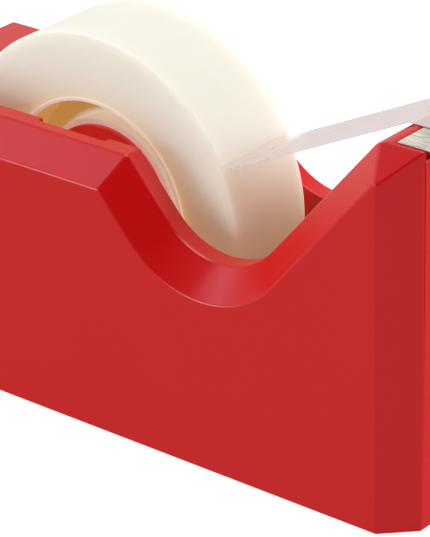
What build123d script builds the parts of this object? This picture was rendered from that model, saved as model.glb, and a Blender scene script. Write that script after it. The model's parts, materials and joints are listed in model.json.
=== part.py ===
"""Weighted desk tape dispenser: moulded housing, closed-in ballast, drop-in reel and cutter blade.

Millimetres, +X towards the cutter, +Y across, +Z up.  The origin is the middle of the footprint, on the
surface that the dispenser stands on.  The reel turns about an axis parallel to Y.
"""
import os
from math import cos, radians, sin, sqrt, tan

from build123d import *

os.makedirs("parts", exist_ok=True)

# ---- Housing: outer form -------------------------------------------------------------------------------
BODY_WIDTH = 45.6           # across the two flat sides
BODY_LENGTH = 120.2         # rear face to front face
REAR_HEIGHT = 52.4          # housing underside to the rear block's top
HEAD_HEIGHT = 69.0          # housing underside to the head's top
AXIS_FROM_REAR = 43.4       # rear face to the reel's axis
AXIS_HEIGHT = 36.0          # housing underside to the reel's axis
REAR_TOP_LENGTH = 58.2      # rear face to where the sides start to dip
HEAD_LENGTH = 8.6           # top of the head, front face to the ramp
HEAD_EASE = 1.1             # cut off the head's rear edge, along its top and down its ramp
RAMP_ANGLE = 49.5           # both ramps of the dip, from the horizontal
DIP_RADIUS = 15.1           # round bottom of the dip
TOP_CHAMFER = 5.25          # all along the sides' top edges
CORNER_CHAMFER_X = 5.5      # upright corners, along the length
CORNER_CHAMFER_Y = 5.4      # upright corners, across the width
WALL = 2.2                  # moulded wall
FLOOR_SKIN = 1.0            # moulded floor under the reel

# ---- Tape and its core ---------------------------------------------------------------------------------
TAPE_WIDTH = 19.0
ROLL_RADIUS = 32.35
CORE_BORE_RADIUS = 12.7     # the standard one-inch core
CORE_INNER_RING = 2.5       # wall of the core's inner ring
CORE_INNER_SETBACK = 3.3    # tape's edge to the end of the inner ring
CORE_RING_RADIUS = 20.2     # outside of the core, where the tape is wound on
CORE_RING_WALL = 0.8
CORE_WEB = 5.0
TAIL_THICKNESS = 0.1        # film and its adhesive

# ---- Trough, reel and hub ------------------------------------------------------------------------------
TROUGH_SIDE_GAP = 4.35      # each side of the tape
FRONT_BLOCK_LENGTH = 30.8   # trough's front wall to the front face
ROLL_CLEARANCE = 1.0        # full roll to the trough's floor and rear wall
HUB_FIT = 0.05              # hub barrel inside the core, radially
HUB_WALL = 2.0
FLANGE_OVERLAP = 1.5        # flange over the end of the core's inner ring
FLANGE_THICKNESS = 1.1
TRUNNION_RADIUS = 7.5       # the stubs that turn in the housing's grooves
TRUNNION_WALL = 1.8
TRUNNION_FIT = 0.08         # stub inside its groove, radially
TRUNNION_END_GAP = 0.3
GROOVE_DEPTH = 1.2          # cut into each side wall of the trough
SPIGOT_LENGTH = 4.0         # the right half's ring that plugs into the left half
TAIL_GAP = 0.1              # round the free end of the tape
TAIL_BEND_RADIUS = 2.0      # over the head's rear edge

# ---- Cutter blade --------------------------------------------------------------------------------------
BLADE_MARGIN = 0.95         # blade's sides to the sides of the head's flat top
BLADE_THICKNESS = 0.6
BLADE_SETBACK = 2.4         # head's rear edge to the blade's rear edge
BLADE_OVERHANG = 2.2        # teeth past the front face
BLADE_GAP = 0.25            # round the blade in its recess
TOOTH_PITCH = 1.66
TOOTH_DEPTH = 1.3
FRONT_STEP = 1.0            # lowered front wall under the blade
FRONT_STEP_LENGTH = 1.5
TAB_WIDTH = 6.0             # bent tabs that hold the blade
TAB_LENGTH = 3.2
TAB_SPACING = 20.0
TAB_GAP = 0.1

# ---- Underside -----------------------------------------------------------------------------------------
PAD_THICKNESS = 0.8
PAD_MARGIN = 1.05           # base plate's edge to the pad's edge
PLATE_THICKNESS = 1.4
PLATE_GAP = 0.15
BALLAST_EDGE = 2.5
BALLAST_GAP = 0.3           # behind the ballast and round the screw bosses
BALLAST_SIDE_GAP = 1.6
BALLAST_FRONT_GAP = 4.1
BALLAST_TOP_GAP = 11.14     # under the head's ramp, at the ballast's rear
SCREW_RADIUS = 1.4
PILOT_RADIUS = 1.15
SCREW_LENGTH = 8.0
SCREW_HEAD_RADIUS = 2.6
BOSS_RADIUS = 3.0
BOSS_HEIGHT = 10.0
BOSS_CAP = 1.0              # left above each pilot hole
BOSS_RIB = 1.6              # web that ties each boss to the side wall
BOSS_SIDE_GAP = 0.4         # boss to the side wall
BOSS_CORNER_OVERLAP = 1.0   # boss reaches past the end of the corner's cut
SCREW_ACCESS_GAP = 0.8      # round each screw head, in the pad
CROSS_SLOT_WIDTH = 0.7
CROSS_SLOT_DEPTH = 0.6
CROSS_SLOT_LENGTH = 3.8

# ---- Places that follow from the sizes above -----------------------------------------------------------
OVERALL_LENGTH = BODY_LENGTH + BLADE_OVERHANG
REAR_X = -OVERALL_LENGTH / 2
FRONT_X = REAR_X + BODY_LENGTH
AXIS_X = REAR_X + AXIS_FROM_REAR
UNDERSIDE_Z = PAD_THICKNESS
AXIS_Z = UNDERSIDE_Z + AXIS_HEIGHT
REAR_TOP_Z = UNDERSIDE_Z + REAR_HEIGHT
HEAD_TOP_Z = UNDERSIDE_Z + HEAD_HEIGHT
RAMP_START_X = REAR_X + REAR_TOP_LENGTH
HEAD_REAR_X = FRONT_X - HEAD_LENGTH
TROUGH_RADIUS = ROLL_RADIUS + ROLL_CLEARANCE
TROUGH_WIDTH = TAPE_WIDTH + 2 * TROUGH_SIDE_GAP
TROUGH_FRONT_X = FRONT_X - FRONT_BLOCK_LENGTH
GROOVE_RADIUS = TRUNNION_RADIUS + TRUNNION_FIT
TRUNNION_END_Y = TROUGH_WIDTH / 2 + GROOVE_DEPTH - TRUNNION_END_GAP
FLANGE_Y = TAPE_WIDTH / 2 - CORE_INNER_SETBACK
BLADE_WIDTH = BODY_WIDTH - 2 * (TOP_CHAMFER + BLADE_MARGIN)
AXIS_POINT = (AXIS_X, 0, AXIS_Z)
ABOVE = 20.0                # how far open cuts run past the housing
PAST = 1.0                  # how far short cuts run past a face
ramp = radians(RAMP_ANGLE)
dip_x = (RAMP_START_X + HEAD_REAR_X - HEAD_HEIGHT / tan(ramp) + REAR_HEIGHT / tan(ramp)) / 2
dip_z = REAR_TOP_Z - (dip_x - RAMP_START_X) * tan(ramp)


def side_outline(inset, bottom_z):
    """Corners of the housing's side view, moved inwards by the inset; the dip's corner is the fifth."""
    step = inset * tan(ramp / 2)
    return [
        (REAR_X + inset, bottom_z),
        (FRONT_X - inset, bottom_z),
        (FRONT_X - inset, HEAD_TOP_Z - inset),
        (HEAD_REAR_X + step, HEAD_TOP_Z - inset),
        (dip_x, dip_z - inset / cos(ramp)),
        (RAMP_START_X - step, REAR_TOP_Z - inset),
        (REAR_X + inset, REAR_TOP_Z - inset),
    ]


def plan_outline(inset):
    """Corners of the footprint: a rectangle whose four corners are cut off."""
    x0 = REAR_X + inset
    x1 = FRONT_X - inset
    y1 = BODY_WIDTH / 2 - inset
    cut = (2 - sqrt(2)) * inset
    dx = CORNER_CHAMFER_X - cut
    dy = CORNER_CHAMFER_Y - cut
    return [
        (x0 + dx, -y1), (x1 - dx, -y1), (x1, -y1 + dy), (x1, y1 - dy),
        (x1 - dx, y1), (x0 + dx, y1), (x0, y1 - dy), (x0, -y1 + dy),
    ]


def housing_form(inset, bottom_z):
    """The housing's solid outer form, or the same form moved inwards by a wall."""
    outline = side_outline(inset, bottom_z)
    with BuildPart() as form:
        with BuildSketch(Plane.XZ):
            with BuildLine():
                Polyline(*outline, close=True)
            make_face()
            corner = vertices().sort_by_distance(Vector(outline[4][0], 0, outline[4][1]))[0]
            fillet(corner, radius=DIP_RADIUS + inset)
        extrude(amount=BODY_WIDTH / 2 - inset, both=True)
        sides = faces().filter_by(Axis.Y)
        top_edges = [
            edge for side in sides
            for edge in side.edges().filter_by(Axis.Z, reverse=True).sort_by(Axis.Z)[1:]
        ]
        chamfer(top_edges, length=TOP_CHAMFER - (2 - sqrt(2)) * inset)
        with BuildSketch(Plane.XY.offset(bottom_z)):
            Polygon(*plan_outline(inset), align=None)
        extrude(amount=HEAD_TOP_Z, mode=Mode.INTERSECT)
        with BuildSketch(Plane.XZ):
            with Locations((HEAD_REAR_X, HEAD_TOP_Z)):
                down_ramp = (-HEAD_EASE * cos(ramp), -HEAD_EASE * sin(ramp))
                Polygon((0, 0), (HEAD_EASE, 0), down_ramp, align=None)
        extrude(amount=BODY_WIDTH / 2, both=True, mode=Mode.SUBTRACT)
    return form.part


def trough_form(skin):
    """Space for the reel, round under the roll; a skin makes it the trough's own outer face."""
    radius = TROUGH_RADIUS + skin
    floor_z = AXIS_Z - TROUGH_RADIUS - min(skin, FLOOR_SKIN)
    front_x = TROUGH_FRONT_X + skin
    top_z = HEAD_TOP_Z + ABOVE
    with BuildPart() as trough:
        with BuildSketch(Plane.XZ):
            with BuildLine():
                turn = RadiusArc((AXIS_X - radius, AXIS_Z), (AXIS_X, AXIS_Z - radius), -radius)
                Line((AXIS_X - radius, top_z), turn @ 0)
                Polyline(turn @ 1, (front_x, AXIS_Z - radius), (front_x, top_z), (AXIS_X - radius, top_z))
            make_face()
        extrude(amount=TROUGH_WIDTH / 2 + skin, both=True)
        split(bisect_by=Plane.XY.offset(floor_z), keep=Keep.TOP)
    return trough.part


# ---- Housing -------------------------------------------------------------------------------------------
screw_x = CORNER_CHAMFER_X + BOSS_RADIUS - BOSS_CORNER_OVERLAP
screw_y = BODY_WIDTH / 2 - WALL - BOSS_RADIUS - BOSS_SIDE_GAP
rib_length = BOSS_RADIUS + BOSS_SIDE_GAP + WALL / 2
screw_places = [
    (x, y) for x in (REAR_X + screw_x, FRONT_X - screw_x) for y in (-screw_y, screw_y)
]
recess_x = HEAD_REAR_X + BLADE_SETBACK
recess_floor_z = HEAD_TOP_Z - BLADE_THICKNESS
tab_x = recess_x + BLADE_GAP + BLADE_THICKNESS / 2
tab_places = [(tab_x, -TAB_SPACING / 2), (tab_x, TAB_SPACING / 2)]
cavity = housing_form(WALL, UNDERSIDE_Z - PAST) - trough_form(WALL)

with BuildPart() as housing:
    add(housing_form(0, UNDERSIDE_Z))
    add(cavity, mode=Mode.SUBTRACT)
    add(trough_form(0), mode=Mode.SUBTRACT)
    for side in (-1, 1):
        groove_y = side * (TROUGH_WIDTH / 2 + GROOVE_DEPTH)
        groove_align = Align.MIN if side > 0 else Align.MAX
        with BuildSketch(Plane(origin=(AXIS_X, groove_y, AXIS_Z), x_dir=(1, 0, 0), z_dir=(0, -side, 0))):
            Circle(GROOVE_RADIUS)
            Rectangle(2 * GROOVE_RADIUS, ABOVE + HEAD_TOP_Z - AXIS_Z, align=(Align.CENTER, groove_align))
        extrude(amount=GROOVE_DEPTH + PAST, mode=Mode.SUBTRACT)
    with BuildSketch(Plane.XY.offset(recess_floor_z)):
        with Locations((recess_x, 0)):
            Rectangle(ABOVE, BLADE_WIDTH + 2 * BLADE_GAP, align=(Align.MIN, Align.CENTER))
    extrude(amount=ABOVE, mode=Mode.SUBTRACT)
    with BuildSketch(Plane.XY.offset(recess_floor_z - FRONT_STEP)):
        with Locations((FRONT_X - FRONT_STEP_LENGTH, 0)):
            Rectangle(ABOVE, BLADE_WIDTH + 2 * BLADE_GAP, align=(Align.MIN, Align.CENTER))
    extrude(amount=ABOVE, mode=Mode.SUBTRACT)
    with BuildSketch(Plane.XY.offset(HEAD_TOP_Z)):
        with Locations(*tab_places):
            Rectangle(BLADE_THICKNESS + 2 * TAB_GAP, TAB_WIDTH + 2 * TAB_GAP)
    extrude(amount=-(BLADE_THICKNESS + TAB_LENGTH + TAB_GAP), mode=Mode.SUBTRACT)
    boss_bottom_z = UNDERSIDE_Z + PLATE_THICKNESS
    with BuildSketch(Plane.XY.offset(boss_bottom_z)):
        with Locations(*screw_places):
            Circle(BOSS_RADIUS)
        for x, y in screw_places:
            with Locations((x, y)):
                Rectangle(BOSS_RIB, rib_length, align=(Align.CENTER, Align.MIN if y > 0 else Align.MAX))
    extrude(amount=BOSS_HEIGHT)
    with BuildSketch(Plane.XY.offset(boss_bottom_z)):
        with Locations(*screw_places):
            Circle(PILOT_RADIUS)
    extrude(amount=BOSS_HEIGHT - BOSS_CAP, mode=Mode.SUBTRACT)
housing.part.label = "housing"
export_step(housing.part, "parts/housing.step")

# ---- Base plate ----------------------------------------------------------------------------------------
with BuildPart() as base_plate:
    with BuildSketch(Plane.XY.offset(UNDERSIDE_Z)):
        Polygon(*plan_outline(WALL + PLATE_GAP), align=None)
    extrude(amount=PLATE_THICKNESS)
    with Locations(Plane(origin=(0, 0, UNDERSIDE_Z), x_dir=(1, 0, 0), z_dir=(0, 0, -1))):
        with Locations(*[(x, -y) for x, y in screw_places]):
            CounterSinkHole(
                radius=SCREW_RADIUS + PLATE_GAP,
                counter_sink_radius=SCREW_HEAD_RADIUS + PLATE_GAP,
            )
base_plate.part.label = "base_plate"
export_step(base_plate.part, "parts/base_plate.step")

# ---- Base screws: four countersunk thread-forming screws -----------------------------------------------
with BuildPart() as base_screws:
    with Locations(*[(x, y, UNDERSIDE_Z) for x, y in screw_places]):
        Cylinder(SCREW_RADIUS, SCREW_LENGTH, align=(Align.CENTER, Align.CENTER, Align.MIN))
        Cone(SCREW_HEAD_RADIUS, SCREW_RADIUS, SCREW_HEAD_RADIUS - SCREW_RADIUS,
             align=(Align.CENTER, Align.CENTER, Align.MIN))
        Box(CROSS_SLOT_LENGTH, CROSS_SLOT_WIDTH, CROSS_SLOT_DEPTH,
            align=(Align.CENTER, Align.CENTER, Align.MIN), mode=Mode.SUBTRACT)
        Box(CROSS_SLOT_WIDTH, CROSS_SLOT_LENGTH, CROSS_SLOT_DEPTH,
            align=(Align.CENTER, Align.CENTER, Align.MIN), mode=Mode.SUBTRACT)
base_screws.part.label = "base_screws"
export_step(base_screws.part, "parts/base_screws.step")

# ---- Non-slip pad --------------------------------------------------------------------------------------
with BuildPart() as non_slip_pad:
    with BuildSketch():
        Polygon(*plan_outline(WALL + PLATE_GAP + PAD_MARGIN), align=None)
        with Locations(*screw_places):
            Circle(SCREW_HEAD_RADIUS + SCREW_ACCESS_GAP, mode=Mode.SUBTRACT)
    extrude(amount=PAD_THICKNESS)
non_slip_pad.part.label = "non_slip_pad"
export_step(non_slip_pad.part, "parts/non_slip_pad.step")

# ---- Ballast weight: a cast block in the hollow of the head, standing on the base plate ----------------
ballast_rear_x = TROUGH_FRONT_X + WALL + BALLAST_GAP
ballast_front_x = FRONT_X - WALL - BALLAST_FRONT_GAP
ballast_bottom_z = UNDERSIDE_Z + PLATE_THICKNESS
ramp_inside_z = HEAD_TOP_Z - (HEAD_REAR_X - ballast_rear_x) * tan(ramp) - WALL / cos(ramp)
ballast_width = BODY_WIDTH - 2 * (WALL + BALLAST_SIDE_GAP)
with BuildPart() as ballast_weight:
    with BuildSketch(Plane.XY.offset(ballast_bottom_z)):
        with Locations((ballast_rear_x, 0)):
            Rectangle(ballast_front_x - ballast_rear_x, ballast_width, align=(Align.MIN, Align.CENTER))
        with Locations(*screw_places):
            Circle(BOSS_RADIUS + BALLAST_GAP, mode=Mode.SUBTRACT)
    extrude(amount=ramp_inside_z - BALLAST_TOP_GAP - ballast_bottom_z)
    chamfer(faces().sort_by(Axis.Z)[-1].edges(), length=BALLAST_EDGE)
ballast_weight.part.label = "ballast_weight"
export_step(ballast_weight.part, "parts/ballast_weight.step")

# ---- Cutter blade: one pressed sheet with a toothed front edge and two bent tabs -----------------------
tooth_tip_x = FRONT_X + BLADE_OVERHANG
tooth_count = int(BLADE_WIDTH / TOOTH_PITCH)
tooth_row = tooth_count * TOOTH_PITCH
blade_rear_x = recess_x + BLADE_GAP
tooth_line = []
for number in range(tooth_count):
    tooth_y = -tooth_row / 2 + number * TOOTH_PITCH
    tooth_line.append((tooth_tip_x - TOOTH_DEPTH, tooth_y))
    tooth_line.append((tooth_tip_x, tooth_y + TOOTH_PITCH / 2))
tooth_line.append((tooth_tip_x - TOOTH_DEPTH, tooth_row / 2))
blade_outline = [
    (blade_rear_x, -BLADE_WIDTH / 2),
    (tooth_tip_x - TOOTH_DEPTH, -BLADE_WIDTH / 2),
    *tooth_line,
    (tooth_tip_x - TOOTH_DEPTH, BLADE_WIDTH / 2),
    (blade_rear_x, BLADE_WIDTH / 2),
]
with BuildPart() as cutter_blade:
    with BuildSketch(Plane.XY.offset(recess_floor_z)):
        Polygon(*blade_outline, align=None)
    extrude(amount=BLADE_THICKNESS)
    with BuildSketch(Plane.XY.offset(recess_floor_z)):
        with Locations(*tab_places):
            Rectangle(BLADE_THICKNESS, TAB_WIDTH)
    extrude(amount=-TAB_LENGTH)
cutter_blade.part.label = "cutter_blade"
export_step(cutter_blade.part, "parts/cutter_blade.step")

# ---- Hub: two halves that clamp the core between their flanges and turn on hollow stubs -----------------
barrel_radius = CORE_BORE_RADIUS - HUB_FIT
barrel_bore = barrel_radius - HUB_WALL
across = Plane(origin=AXIS_POINT, x_dir=(1, 0, 0), z_dir=(0, -1, 0))


def hub_half(spigot):
    """The half on the -Y side, or with a spigot the half that is turned round to the +Y side."""
    with BuildPart() as half:
        with BuildSketch(across):
            Circle(barrel_radius)
            Circle(barrel_bore, mode=Mode.SUBTRACT)
        extrude(amount=FLANGE_Y)
        with BuildSketch(across.offset(FLANGE_Y)):
            Circle(CORE_BORE_RADIUS + FLANGE_OVERLAP)
            Circle(TRUNNION_RADIUS - TRUNNION_WALL, mode=Mode.SUBTRACT)
        extrude(amount=FLANGE_THICKNESS)
        with BuildSketch(across.offset(FLANGE_Y)):
            Circle(TRUNNION_RADIUS)
            Circle(TRUNNION_RADIUS - TRUNNION_WALL, mode=Mode.SUBTRACT)
        extrude(amount=TRUNNION_END_Y - FLANGE_Y)
        if spigot:
            with BuildSketch(across.offset(-SPIGOT_LENGTH)):
                Circle(barrel_bore - HUB_FIT)
                Circle(barrel_bore - HUB_FIT - HUB_WALL, mode=Mode.SUBTRACT)
            extrude(amount=SPIGOT_LENGTH + FLANGE_Y + FLANGE_THICKNESS)
    return half.part


with BuildPart() as hub_left:
    add(hub_half(spigot=False))
hub_left.part.label = "hub_left"
export_step(hub_left.part, "parts/hub_left.step")

with BuildPart() as hub_right:
    add(mirror(hub_half(spigot=True), about=Plane.XZ))
hub_right.part.label = "hub_right"
export_step(hub_right.part, "parts/hub_right.step")

# ---- Tape core: inner ring, web and outer ring in one moulding -----------------------------------------
with BuildPart() as tape_core:
    for inner, outer, length in (
        (CORE_BORE_RADIUS, CORE_BORE_RADIUS + CORE_INNER_RING, 2 * FLANGE_Y),
        (CORE_BORE_RADIUS, CORE_RING_RADIUS, CORE_WEB),
        (CORE_RING_RADIUS - CORE_RING_WALL, CORE_RING_RADIUS, TAPE_WIDTH),
    ):
        with BuildSketch(across):
            Circle(outer)
            Circle(inner, mode=Mode.SUBTRACT)
        extrude(amount=length / 2, both=True)
tape_core.part.label = "tape_core"
export_step(tape_core.part, "parts/tape_core.step")

# ---- Tape roll -----------------------------------------------------------------------------------------
with BuildPart() as tape_roll:
    with BuildSketch(across):
        Circle(ROLL_RADIUS)
        Circle(CORE_RING_RADIUS, mode=Mode.SUBTRACT)
    extrude(amount=TAPE_WIDTH / 2, both=True)
tape_roll.part.label = "tape_roll"
export_step(tape_roll.part, "parts/tape_roll.step")

# ---- Tape tail: peels off square to the roll, bends over the head's rear edge and lies on the blade ----
tail_z = HEAD_TOP_Z + TAIL_GAP + TAIL_THICKNESS / 2
bend = Vector(HEAD_REAR_X, tail_z)
pull = (bend - Vector(AXIS_X, AXIS_Z)).normalized()
peel = Vector(AXIS_X, AXIS_Z) + pull * (ROLL_RADIUS + TAIL_GAP)
with BuildPart() as tape_tail:
    with BuildSketch(Plane.XZ):
        with BuildLine():
            FilletPolyline(
                (peel.X, peel.Y), (bend.X, bend.Y), (tooth_tip_x, tail_z), radius=TAIL_BEND_RADIUS,
            )
        trace(line_width=TAIL_THICKNESS)
    extrude(amount=TAPE_WIDTH / 2, both=True)
tape_tail.part.label = "tape_tail"
export_step(tape_tail.part, "parts/tape_tail.step")
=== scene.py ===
import json
import random
from math import atan2, cos, pi, radians, sin, tan

import bmesh
import bpy
from mathutils import Matrix, Vector

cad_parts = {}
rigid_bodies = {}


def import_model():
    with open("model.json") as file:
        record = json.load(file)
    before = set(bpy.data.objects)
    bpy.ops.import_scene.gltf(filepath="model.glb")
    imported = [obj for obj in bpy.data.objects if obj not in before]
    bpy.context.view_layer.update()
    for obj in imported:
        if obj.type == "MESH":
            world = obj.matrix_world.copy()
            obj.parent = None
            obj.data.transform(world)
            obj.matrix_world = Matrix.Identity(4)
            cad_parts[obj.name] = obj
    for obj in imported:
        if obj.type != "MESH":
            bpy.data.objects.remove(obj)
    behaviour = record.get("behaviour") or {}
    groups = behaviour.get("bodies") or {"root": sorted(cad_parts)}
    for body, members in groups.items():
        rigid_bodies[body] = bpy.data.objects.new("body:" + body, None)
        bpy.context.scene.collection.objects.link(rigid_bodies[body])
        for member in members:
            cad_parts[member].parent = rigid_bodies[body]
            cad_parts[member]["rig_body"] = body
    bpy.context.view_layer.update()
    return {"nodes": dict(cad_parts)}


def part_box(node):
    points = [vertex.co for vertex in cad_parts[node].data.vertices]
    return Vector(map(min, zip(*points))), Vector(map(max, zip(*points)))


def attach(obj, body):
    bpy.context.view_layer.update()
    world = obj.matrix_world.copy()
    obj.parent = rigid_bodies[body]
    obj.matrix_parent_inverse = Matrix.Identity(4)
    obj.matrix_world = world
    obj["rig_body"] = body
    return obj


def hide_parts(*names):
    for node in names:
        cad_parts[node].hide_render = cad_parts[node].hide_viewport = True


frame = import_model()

# ---- Camera --------------------------------------------------------------------------------------------
# A long lens from the front right, a little above the object, with the far end of the deck and the blade's
# tip cut off by the edges of the view.  The camera leans very slightly out of level.
MM = 0.001
aim = Vector((1.26, 0.14, 26.0)) * MM
turn = radians(39.61)
rise = radians(25.9)
tilt = radians(-1.35)
distance = 546.7 * MM

back = Vector((sin(turn) * cos(rise), -cos(turn) * cos(rise), sin(rise)))
level = Vector((cos(turn), sin(turn), 0))
upright = back.cross(level)
right = cos(tilt) * level + sin(tilt) * upright
up = cos(tilt) * upright - sin(tilt) * level

camera_data = bpy.data.cameras.new("camera")
camera_data.sensor_width = 36
camera_data.lens = 206.35
camera_data.clip_start = 10 * MM
camera = bpy.data.objects.new("camera", camera_data)
pointing = Matrix((right, up, back)).transposed().to_4x4()
camera.matrix_world = Matrix.Translation(aim + back * distance) @ pointing
bpy.context.scene.collection.objects.link(camera)
bpy.context.scene.camera = camera


# ---- Studio: floor, sky and lamps ----------------------------------------------------------------------
# A white tent over a back-lit table.  The tent has a dark opening where the camera stands, which keeps
# the faces that look straight out of it deep in colour, and the tent's sides light the others.
def srgb(code):
    """A colour written as six hex digits, turned linear."""
    channels = [int(code[i:i + 2], 16) / 255 for i in (0, 2, 4)]
    linear = [c / 12.92 if c <= 0.04045 else ((c + 0.055) / 1.055) ** 2.4 for c in channels]
    return (*linear, 1.0)


def add(tree, kind, inputs=None, **settings):
    """Adds a node with its settings, and links or sets its inputs.  A Mix node's two colours go by number,
    6 and 7, because others of its inputs have the same names."""
    made = tree.nodes.new(kind)
    for name, value in settings.items():
        setattr(made, name, value)
    for name, value in (inputs or {}).items():
        if isinstance(value, bpy.types.NodeSocket):
            tree.links.new(value, made.inputs[name])
        else:
            made.inputs[name].default_value = value
    return made


bpy.context.scene.view_settings.view_transform = "Standard"

world = bpy.data.worlds.new("white_tent")
world.use_nodes = True
bpy.context.scene.world = world
sky = world.node_tree
sky.nodes.clear()
direction = add(sky, "ShaderNodeTexCoord").outputs["Generated"]
opening = add(sky, "ShaderNodeVectorMath", {0: direction, 1: tuple(back)}, operation="DOT_PRODUCT")
cloth = add(sky, "ShaderNodeMapRange", {
    "Value": opening.outputs["Value"], "From Min": -0.5, "From Max": 0.45, "To Min": 0.7, "To Max": 0.03,
}, interpolation_type="SMOOTHSTEP")
height = add(sky, "ShaderNodeSeparateXYZ", {"Vector": direction})
table_edge = add(sky, "ShaderNodeMapRange", {
    "Value": height.outputs["Z"], "From Min": -0.35, "From Max": 0.1, "To Min": 0.25, "To Max": 1.0,
})
glow = add(sky, "ShaderNodeMath", {
    0: cloth.outputs["Result"], 1: table_edge.outputs["Result"],
}, operation="MULTIPLY")
tent = add(sky, "ShaderNodeBackground", {"Color": srgb("FFFFFF"), "Strength": glow.outputs["Value"]})
add(sky, "ShaderNodeOutputWorld", {"Surface": tent.outputs["Background"]})


def softbox(name, towards, size, radiance, colour="FFFFFF"):
    """A square lamp behind diffusing cloth, a metre from the object and turned to it."""
    data = bpy.data.lights.new(name, "AREA")
    data.shape = "SQUARE"
    data.size = size
    data.energy = radiance * pi * size * size
    data.color = srgb(colour)[:3]
    lamp = bpy.data.objects.new(name, data)
    away = Vector(towards).normalized()
    lamp.matrix_world = Matrix.Translation(away) @ away.to_track_quat("Z", "Y").to_matrix().to_4x4()
    bpy.context.scene.collection.objects.link(lamp)


softbox("softbox_low_left", (-0.57, -0.80, 0.18), 0.28, 8.1)
softbox("softbox_high_left", (-0.72, -0.42, 0.66), 0.36, 2.0, "E8E6FF")
softbox("softbox_right", (0.80, 0.50, 0.34), 0.6, 4.1)
softbox("softbox_top", (-0.05, 0.0, 1.0), 0.7, 3.7)


def new_material(name):
    """A material with its node tree, its shader's inputs, and the socket that gives a point's place on the
    piece."""
    made = bpy.data.materials.new(name)
    made.use_nodes = True
    tree = made.node_tree
    place = add(tree, "ShaderNodeTexCoord").outputs["Object"]
    return made, tree, tree.nodes["Principled BSDF"].inputs, place


# The table is an opal sheet, 8 m square, lit from behind: an even white with next to no shadow on it.  It
# lies a hair under the object, so that the two don't share a plane.
drop = 0.02 * MM
sweep_form = bmesh.new()
bmesh.ops.create_grid(sweep_form, x_segments=1, y_segments=1, size=4)
bmesh.ops.translate(sweep_form, verts=sweep_form.verts, vec=(0, 0, -drop))
sweep_mesh = bpy.data.meshes.new("light_table")
sweep_form.to_mesh(sweep_mesh)
sweep_form.free()
sweep = bpy.data.objects.new("light_table", sweep_mesh)
sweep.visible_glossy = False
bpy.context.scene.collection.objects.link(sweep)
opal, _, opal_shader, _ = new_material("back_lit_opal_acrylic")
opal_shader["Base Color"].default_value = srgb("8C8C8C")
opal_shader["Roughness"].default_value = 0.9
opal_shader["Emission Color"].default_value = srgb("FFFFFF")
opal_shader["Emission Strength"].default_value = 0.95
sweep_mesh.materials.append(opal)


# ---- Housing -------------------------------------------------------------------------------------------
# One injection moulding in red ABS.  The tool leaves every outside corner with a small radius, and a fine
# satin surface with the faint unevenness of the melt's flow.
def softened(node, radius, name, segments=3, shortest=0, nearest=0, left_out=lambda place: False):
    """A copy of a CAD node with its outside corners rounded, as a mould or a deburring leaves them.  Edges up
    to the shortest length stay sharp, as do those at places left out, and points nearer to each other than
    nearest are made one."""
    sharper_than = radians(22)
    flatter_than = radians(0.6)
    form = bmesh.new()
    form.from_mesh(frame["nodes"][node].data)
    bmesh.ops.remove_doubles(form, verts=form.verts, dist=0.002 * MM)
    bmesh.ops.dissolve_limit(form, angle_limit=flatter_than, verts=form.verts, edges=form.edges)
    close = [corner for corner in form.verts if not left_out(corner.co)]
    bmesh.ops.remove_doubles(form, verts=close, dist=nearest)
    bmesh.ops.dissolve_degenerate(form, dist=0.001 * MM, edges=form.edges)
    bmesh.ops.connect_verts_concave(form, faces=form.faces)
    corners = [
        edge for edge in form.edges
        if edge.is_convex and edge.calc_length() > shortest
        and edge.calc_face_angle(0) > sharper_than
        and not left_out((edge.verts[0].co + edge.verts[1].co) / 2)
    ]
    bmesh.ops.bevel(
        form, geom=corners, offset=radius, offset_type="OFFSET", segments=segments, profile=0.5,
        affect="EDGES", clamp_overlap=False, loop_slide=False, material=-1,
    )
    return finished(form, name, node)


def finished(form, name, node, smooth_to=35):
    """Makes the piece's object from its bmesh, smooth-shaded, riding with the node that it stands for."""
    mesh = bpy.data.meshes.new(name)
    form.to_mesh(mesh)
    form.free()
    mesh.shade_smooth()
    mesh.set_sharp_from_angle(angle=radians(smooth_to))
    piece = bpy.data.objects.new(name, mesh)
    bpy.context.scene.collection.objects.link(piece)
    shading = piece.modifiers.new("flat_faces_stay_flat", "WEIGHTED_NORMAL")
    shading.keep_sharp = True
    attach(piece, frame["nodes"][node]["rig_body"])
    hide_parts(node)
    return piece


def moulded_abs(name, deep, bright, roughness):
    """ABS from a satin tool: even colour, soft reflections and a very fine grain."""
    made, tree, shader, place = new_material(name)
    flow = add(tree, "ShaderNodeTexNoise", {"Vector": place, "Scale": 1 / (30 * MM), "Detail": 2})
    colour = add(tree, "ShaderNodeMix", {
        "Factor": flow.outputs["Fac"], 6: srgb(deep), 7: srgb(bright),
    }, data_type="RGBA")
    tree.links.new(colour.outputs[2], shader["Base Color"])
    shader["Roughness"].default_value = roughness
    # The moulded skin is very slightly wavy, like orange peel, about 1.5 mm from wave to wave.
    grain = add(tree, "ShaderNodeTexNoise", {"Vector": place, "Scale": 1 / (1.5 * MM), "Detail": 0})
    relief = add(tree, "ShaderNodeBump", {
        "Strength": 0.05, "Distance": 0.02 * MM, "Height": grain.outputs["Fac"],
    })
    tree.links.new(relief.outputs["Normal"], shader["Normal"])
    shader["IOR"].default_value = 1.53
    return made


red_abs = moulded_abs("red_moulded_abs", "D80508", "DE080B", 0.3)
boss_top_z = 12.6 * MM
rim_z = 1.2 * MM
housing = softened(
    "housing", 0.35 * MM, "housing_shell", nearest=0.3 * MM,
    left_out=lambda place: rim_z < place.z < boss_top_z,
)
housing.data.materials.append(red_abs)

# ---- Base plate ----------------------------------------------------------------------------------------
# A flat moulding in black ABS that closes the hollow housing from below.  Four screws at its corners hold it.
black_abs = moulded_abs("black_moulded_abs", "141415", "1B1B1D", 0.55)
base_plate = softened("base_plate", 0.2 * MM, "base_cover", shortest=3 * MM)
base_plate.data.materials.append(black_abs)


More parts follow.
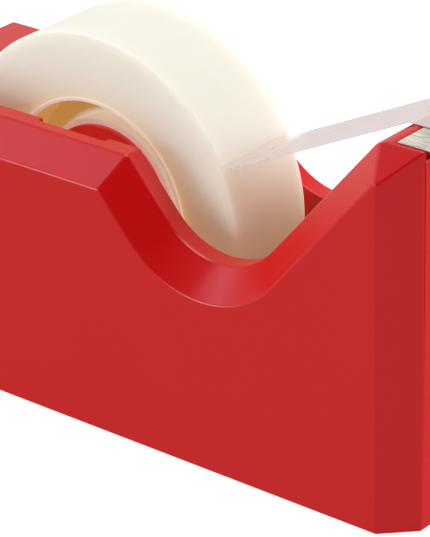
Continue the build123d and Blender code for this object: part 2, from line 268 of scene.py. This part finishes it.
# ---- Base screws ---------------------------------------------------------------------------------------
# Four countersunk cross-head screws of cold-headed steel, zinc plated.  They go up through the base plate,
# and cut their own threads in the housing's bosses.
def plated_steel(name, colour, roughness, mottle):
    """Zinc on steel: a bluish metal whose small crystals make the gloss uneven."""
    made, tree, shader, place = new_material(name)
    shader["Base Color"].default_value = srgb(colour)
    shader["Metallic"].default_value = 1.0
    crystals = add(tree, "ShaderNodeTexVoronoi", {"Vector": place, "Scale": 1 / mottle})
    gloss = add(tree, "ShaderNodeMapRange", {
        "Value": crystals.outputs["Color"], "To Min": roughness - 0.07, "To Max": roughness + 0.07,
    })
    tree.links.new(gloss.outputs["Result"], shader["Roughness"])
    return made


base_screws = softened("base_screws", 0.1 * MM, "cross_head_screws", segments=2)
base_screws.data.materials.append(plated_steel("zinc_plated_steel", "C4C8CC", 0.34, 0.6 * MM))


# ---- Ballast weight ------------------------------------------------------------------------------------
# A sand-cast iron block, grey and pitted.  It stands on the base plate in the hollow of the head, so that the
# tape can be torn with one hand.
def cast_iron(name):
    """Grey iron from a sand mould: dull, with the grains of the sand in its skin."""
    made, tree, shader, place = new_material(name)
    shader["Metallic"].default_value = 0.8
    shader["Roughness"].default_value = 0.72
    sand = add(tree, "ShaderNodeTexNoise", {"Vector": place, "Scale": 1 / (0.8 * MM), "Detail": 5})
    skin = add(tree, "ShaderNodeMix", {
        "Factor": sand.outputs["Fac"], 6: srgb("2F2E2D"), 7: srgb("5A5856"),
    }, data_type="RGBA")
    tree.links.new(skin.outputs[2], shader["Base Color"])
    pits = add(tree, "ShaderNodeBump", {
        "Strength": 0.5, "Distance": 0.15 * MM, "Height": sand.outputs["Fac"],
    })
    tree.links.new(pits.outputs["Normal"], shader["Normal"])
    return made


ballast = softened("ballast_weight", 0.6 * MM, "cast_ballast", shortest=3 * MM)
ballast.data.materials.append(cast_iron("sand_cast_iron"))


# ---- Non-slip pad --------------------------------------------------------------------------------------
# Solid rubber sheet, punched to shape and glued under the base plate.  It was cured against a cloth, whose
# fine weave is left in its skin.
def sheet_rubber(name):
    """Vulcanised rubber: black and dull, with the print of the cloth that it was cured against."""
    made, tree, shader, place = new_material(name)
    shader["Roughness"].default_value = 0.85
    shader["IOR"].default_value = 1.5
    thread = 2 * pi / (1.1 * MM)
    parts = add(tree, "ShaderNodeSeparateXYZ", {"Vector": place})
    across = add(tree, "ShaderNodeMath", {0: parts.outputs["X"], 1: thread}, operation="MULTIPLY")
    along = add(tree, "ShaderNodeMath", {0: parts.outputs["Y"], 1: thread}, operation="MULTIPLY")
    warp = add(tree, "ShaderNodeMath", {0: across.outputs["Value"]}, operation="SINE")
    weft = add(tree, "ShaderNodeMath", {0: along.outputs["Value"]}, operation="SINE")
    weave = add(tree, "ShaderNodeMath", {
        0: warp.outputs["Value"], 1: weft.outputs["Value"],
    }, operation="MULTIPLY")
    tone = add(tree, "ShaderNodeMix", {
        "Factor": weave.outputs["Value"], 6: srgb("141414"), 7: srgb("242424"),
    }, data_type="RGBA")
    tree.links.new(tone.outputs[2], shader["Base Color"])
    print_left = add(tree, "ShaderNodeBump", {
        "Strength": 0.6, "Distance": 0.08 * MM, "Height": weave.outputs["Value"],
    })
    tree.links.new(print_left.outputs["Normal"], shader["Normal"])
    return made


pad = softened("non_slip_pad", 0.12 * MM, "rubber_pad", segments=2)
pad.data.materials.append(sheet_rubber("vulcanised_rubber"))


# ---- Cutter blade --------------------------------------------------------------------------------------
# Stainless strip, blanked with its row of teeth and brushed from back to front.  Its two tabs are bent down,
# and hold it in two slots in the head.
def brushed_stainless(name, colour):
    """Cold-rolled stainless rubbed one way: fine lines that stretch the reflections across them."""
    made, tree, shader, place = new_material(name)
    shader["Metallic"].default_value = 1.0
    shader["Anisotropic"].default_value = 0.6
    # Lines 0.5 mm apart and 3 mm long, drawn coarser than the real abrasive's so that they show.
    apart = 0.5 * MM
    long = 3 * MM
    drawn = add(tree, "ShaderNodeMapping", {"Vector": place, "Scale": (1 / long, 1 / apart, 1 / apart)})
    lines = add(tree, "ShaderNodeTexNoise", {"Vector": drawn.outputs["Vector"], "Scale": 1.0, "Detail": 4})
    rubbed = add(tree, "ShaderNodeMapRange", {
        "Value": lines.outputs["Fac"], "From Min": 0.35, "From Max": 0.6,
    })
    tone = add(tree, "ShaderNodeMix", {
        "Factor": rubbed.outputs["Result"], 6: srgb(colour), 7: srgb("FAF6E8"),
    }, data_type="RGBA")
    tree.links.new(tone.outputs[2], shader["Base Color"])
    gloss = add(tree, "ShaderNodeMapRange", {
        "Value": lines.outputs["Fac"], "From Min": 0.3, "From Max": 0.7, "To Min": 0.33, "To Max": 0.41,
    })
    tree.links.new(gloss.outputs["Result"], shader["Roughness"])
    scratch = add(tree, "ShaderNodeBump", {
        "Strength": 0.05, "Distance": 0.02 * MM, "Height": lines.outputs["Fac"],
    })
    tree.links.new(scratch.outputs["Normal"], shader["Normal"])
    return made


blade = softened("cutter_blade", 0.1 * MM, "toothed_blade", segments=2)
blade.data.materials.append(brushed_stainless("brushed_stainless_steel", "D4CDB8"))

# ---- Hub -----------------------------------------------------------------------------------------------
# Two halves in the housing's own red ABS, pressed together through the core.  They carry a painted red glow,
# an emission that stands in for the light that comes through the tape and the core, and keeps them a clear
# red.
painted_glow_hub_abs = moulded_abs("red_painted_glow_hub_abs", "D80508", "DE080B", 0.3)
hub_shader = painted_glow_hub_abs.node_tree.nodes["Principled BSDF"].inputs
# Painted glow: a red emission on the hub, in place of light that comes through the roll and the core.
hub_shader["Emission Color"].default_value = srgb("C63630")
hub_shader["Emission Strength"].default_value = 0.38
for node in ("hub_left", "hub_right"):
    half = softened(node, 0.25 * MM, node + "_moulding")
    half.data.materials.append(painted_glow_hub_abs)


# ---- Tape core -----------------------------------------------------------------------------------------
# One polystyrene moulding in a cloudy off-white: an inner ring on the hub, a web, and the ring that the tape
# is wound on.  It carries a painted glow in its own colour for the warm light that comes through it, and a
# painted tan on the web and the outer ring's inner wall, in the shaded recess between the rings.
def distance_from_axis(tree, place, centre):
    """How far a point is from the reel's axis, as a socket."""
    moved = add(tree, "ShaderNodeVectorMath", {0: place, 1: tuple(centre)}, operation="SUBTRACT")
    pressed = add(tree, "ShaderNodeVectorMath", {
        0: moved.outputs["Vector"], 1: (1, 0, 1),
    }, operation="MULTIPLY")
    length = add(tree, "ShaderNodeVectorMath", {0: pressed.outputs["Vector"]}, operation="LENGTH")
    return length.outputs["Value"]


def cloudy_polystyrene(name, end, wall, painted_recess_glow, centre, ring_end, roll_end):
    """Unpigmented styrene: milky and slightly glossy, palest on the rings' ends, duller on the walls between
    them.
    The web and the outer ring's inner wall, in the shaded recess, are painted a deep tan, and the whole
    moulding carries a painted glow in its own colours; both stand in for light that comes through the roll."""
    made, tree, shader, place = new_material(name)
    outward = add(tree, "ShaderNodeMapRange", {
        "Value": distance_from_axis(tree, place, centre), "From Min": 15.3 * MM, "From Max": 16.2 * MM,
    })
    across = add(tree, "ShaderNodeSeparateXYZ", {"Vector": place})
    off_centre = add(tree, "ShaderNodeMath", {0: across.outputs["Y"], 1: centre.y}, operation="SUBTRACT")
    depth = add(tree, "ShaderNodeMath", {0: off_centre.outputs["Value"]}, operation="ABSOLUTE")
    inner_end = add(tree, "ShaderNodeMapRange", {
        "Value": depth.outputs["Value"], "From Min": ring_end - 0.3 * MM, "From Max": ring_end - 0.1 * MM,
    })
    outer_end = add(tree, "ShaderNodeMapRange", {
        "Value": depth.outputs["Value"], "From Min": roll_end - 0.5 * MM, "From Max": roll_end - 0.2 * MM,
    })
    inner = add(tree, "ShaderNodeMix", {
        "Factor": inner_end.outputs["Result"], 6: srgb(wall), 7: srgb(end),
    }, data_type="RGBA")
    outer = add(tree, "ShaderNodeMix", {
        "Factor": outer_end.outputs["Result"], 6: srgb(painted_recess_glow), 7: srgb(end),
    }, data_type="RGBA")
    tone = add(tree, "ShaderNodeMix", {
        "Factor": outward.outputs["Result"], 6: inner.outputs[2], 7: outer.outputs[2],
    }, data_type="RGBA")
    tree.links.new(tone.outputs[2], shader["Base Color"])
    # Painted glow: the moulding emits its own colours, including the painted tan in the recess.
    tree.links.new(tone.outputs[2], shader["Emission Color"])
    shader["Emission Strength"].default_value = 0.4
    cloud = add(tree, "ShaderNodeTexNoise", {"Vector": place, "Scale": 1 / (3 * MM), "Detail": 3})
    gloss = add(tree, "ShaderNodeMapRange", {"Value": cloud.outputs["Fac"], "To Min": 0.32, "To Max": 0.46})
    tree.links.new(gloss.outputs["Result"], shader["Roughness"])
    shader["IOR"].default_value = 1.59
    shader["Subsurface Weight"].default_value = 0.35
    shader["Subsurface Radius"].default_value = (1.0, 0.6, 0.35)
    shader["Subsurface Scale"].default_value = 2 * MM
    return made


low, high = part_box("tape_roll")
spin_axis = (low + high) / 2
core = softened("tape_core", 0.2 * MM, "tape_core_moulding")
core.data.materials.append(cloudy_polystyrene(
    "cloudy_polystyrene", "DED6CA", "DCD8CA", "C8A45C", spin_axis,
    ring_end=6.2 * MM, roll_end=(high.y - low.y) / 2,
))


# ---- Tape roll -----------------------------------------------------------------------------------------
# Some hundreds of turns of matt acetate film.  The turns don't lie quite level, so the two sides carry fine
# rings, and the corners are rounded where the film's edges give.
def wound_film(name, film, glow, centre):
    """Matt film, wound tight: waxy and cream, with a painted tan glow all over it, an even emission that
    stands in for light that has wandered through the turns and shows most in its shaded parts, and the
    faintest rings on its cut sides."""
    made, tree, shader, place = new_material(name)
    cloud = add(tree, "ShaderNodeTexNoise", {"Vector": place, "Scale": 1 / (14 * MM), "Detail": 3})
    rings = add(tree, "ShaderNodeTexNoise", {
        "W": distance_from_axis(tree, place, centre), "Scale": 1 / (0.5 * MM), "Detail": 2,
    }, noise_dimensions="1D")
    mottle = add(tree, "ShaderNodeMath", {
        0: cloud.outputs["Fac"], 1: rings.outputs["Fac"],
    }, operation="MULTIPLY")
    waxy = add(tree, "ShaderNodeMix", {
        "Factor": mottle.outputs["Value"], 6: srgb(film), 7: srgb("DCDBD2"),
    }, data_type="RGBA")
    tree.links.new(waxy.outputs[2], shader["Base Color"])
    shader["Roughness"].default_value = 0.45
    shader["IOR"].default_value = 1.47
    shader["Subsurface Weight"].default_value = 1.0
    shader["Subsurface Radius"].default_value = (1.0, 0.85, 0.7)
    shader["Subsurface Scale"].default_value = 5 * MM
    # Painted glow: an even tan emission over the whole roll, which shows most in its shaded parts.
    shader["Emission Color"].default_value = srgb(glow)
    shader["Emission Strength"].default_value = 0.34
    return made


roll_radius = (high.z - low.z) / 2
roll_side = (high.y - low.y) / 2
core_low, core_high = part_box("tape_core")
wound_on = (core_high.z - core_low.z) / 2
# Rings 0.32 mm apart, drawn coarser than the real turns so that they show.  Each wanders from the last one.
turns = random.Random(7)
ring_step = 0.32 * MM
wander = 0.018 * MM
settle = 0.7
edge_round = 0.5 * MM
edge_steps = 5
shy = 0.03 * MM
facets_around = 220
side_profile = []
level_drift = 0.0
for number in range(int((roll_radius - edge_round - wound_on) / ring_step)):
    level_drift = settle * level_drift + turns.uniform(-wander, wander)
    side_profile.append((wound_on + number * ring_step, roll_side - shy + level_drift))
for step in range(edge_steps + 1):
    around = radians(90) * (1 - step / edge_steps)
    side_profile.append((
        roll_radius - edge_round - shy + edge_round * cos(around),
        roll_side - edge_round - shy + edge_round * sin(around),
    ))
far_profile = [(r, -y) for r, y in reversed(side_profile)]
roll_form = bmesh.new()
ring = [roll_form.verts.new(spin_axis + Vector((r, y, 0))) for r, y in side_profile + far_profile]
section = [roll_form.edges.new(pair) for pair in zip(ring, ring[1:] + ring[:1])]
bmesh.ops.spin(
    roll_form, geom=ring + section, cent=spin_axis, axis=(0, 1, 0), angle=2 * pi, steps=facets_around,
    use_merge=True,
)
bmesh.ops.recalc_face_normals(roll_form, faces=roll_form.faces)
roll = finished(roll_form, "wound_tape", "tape_roll")
roll.data.materials.append(wound_film("wound_matt_film", "E2E5E6", "CEBF8C", spin_axis))


# ---- Tape tail -----------------------------------------------------------------------------------------
# One thickness of the film, pulled square off the roll, over the head's rear edge and along the blade, where
# the teeth have cut its end.
def single_film(name, tint, centre, roll_edge, head_x):
    """One layer of matt acetate with its adhesive: a pale veil that lets a little of what is behind it show.
    It clears towards the roll, and is denser on the head, where nothing lights it from below."""
    made, tree, shader, place = new_material(name)
    shader["Base Color"].default_value = srgb(tint)
    shader["Roughness"].default_value = 0.4
    shader["IOR"].default_value = 1.47
    streak = add(tree, "ShaderNodeTexNoise", {"Vector": place, "Scale": 1 / (4 * MM), "Detail": 2})
    veil = add(tree, "ShaderNodeMapRange", {
        "Value": streak.outputs["Fac"], "From Min": 0.3, "From Max": 0.7, "To Min": 0.58, "To Max": 0.62,
    })
    clearing = add(tree, "ShaderNodeMapRange", {
        "Value": distance_from_axis(tree, place, centre),
        "From Min": roll_edge, "From Max": roll_edge + 7 * MM, "To Min": 0.1, "To Max": 1.0,
    })
    along = add(tree, "ShaderNodeSeparateXYZ", {"Vector": place})
    backed = add(tree, "ShaderNodeMapRange", {
        "Value": along.outputs["X"], "From Min": head_x, "From Max": head_x + 1.5 * MM,
        "To Min": 0.0, "To Max": 0.18,
    })
    cover = add(tree, "ShaderNodeMath", {
        0: veil.outputs["Result"], 1: clearing.outputs["Result"], 2: backed.outputs["Result"],
    }, operation="MULTIPLY_ADD")
    tree.links.new(cover.outputs["Value"], shader["Alpha"])
    return made


_, tail_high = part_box("tape_tail")
film = 0.08 * MM
tooth_half = 0.83 * MM
tooth_cut = 0.9 * MM
bend_radius = 2.0 * MM
bend_steps = 6
curl = 0.9 * MM
off_roll = 0.05 * MM
half_width = roll_side
lying_z = tail_high.z - film / 2
head_rear = Vector((50.4 * MM, 0, tail_high.z))
pull = (head_rear - spin_axis).normalized()
peel = spin_axis + pull * (roll_radius + off_roll)
line_up = Vector((-pull.z, 0, pull.x))
# The film turns square to the roll's surface in a tight curl, and runs straight to the bend.
route = []
for step in range(bend_steps + 1):
    around = radians(90) * step / bend_steps
    route.append(peel + line_up * (curl - curl * sin(around)) + pull * (curl - curl * cos(around)))
slope = atan2(pull.z, pull.x)
corner_x = head_rear.x - (tail_high.z - lying_z) * pull.x / pull.z
flat_from = corner_x + bend_radius * tan(slope / 2)
for step in range(bend_steps + 1):
    around = slope * (1 - step / bend_steps)
    route.append(Vector((
        flat_from - bend_radius * sin(around), 0, lying_z - bend_radius + bend_radius * cos(around),
    )))
# From the bend it lies flat along the blade, in four equal lengths, as far as the notches between the teeth.
flat_run = tail_high.x - tooth_cut - flat_from
flat_lengths = 4
for step in range(1, flat_lengths + 1):
    route.append(Vector((flat_from + flat_run * step / flat_lengths, 0, lying_z)))
count = int(half_width / tooth_half)
tooth_places = [number * tooth_half for number in range(-count, count + 1)]
stations = [-half_width] + tooth_places + [half_width]
strip = bmesh.new()
row = [strip.verts.new(route[0] + Vector((0, y, 0))) for y in stations]
edges = [strip.edges.new(pair) for pair in zip(row, row[1:])]
for before, after in zip(route, route[1:]):
    grown = bmesh.ops.extrude_edge_only(strip, edges=edges)["geom"]
    edges = [part for part in grown if isinstance(part, bmesh.types.BMEdge)]
    row = [part for part in grown if isinstance(part, bmesh.types.BMVert)]
    bmesh.ops.translate(strip, verts=row, vec=after - before)
for point in row:
    if round(point.co.y / tooth_half) % 2:
        point.co.x += tooth_cut
bmesh.ops.recalc_face_normals(strip, faces=strip.faces)
tail = finished(strip, "tape_tail_film", "tape_tail", smooth_to=60)
thick = tail.modifiers.new("film_thickness", "SOLIDIFY")
thick.thickness = film
thick.offset = 0
tail.data.materials.append(single_film("single_matt_film", "ECDEDA", spin_axis, roll_radius, head_rear.x))
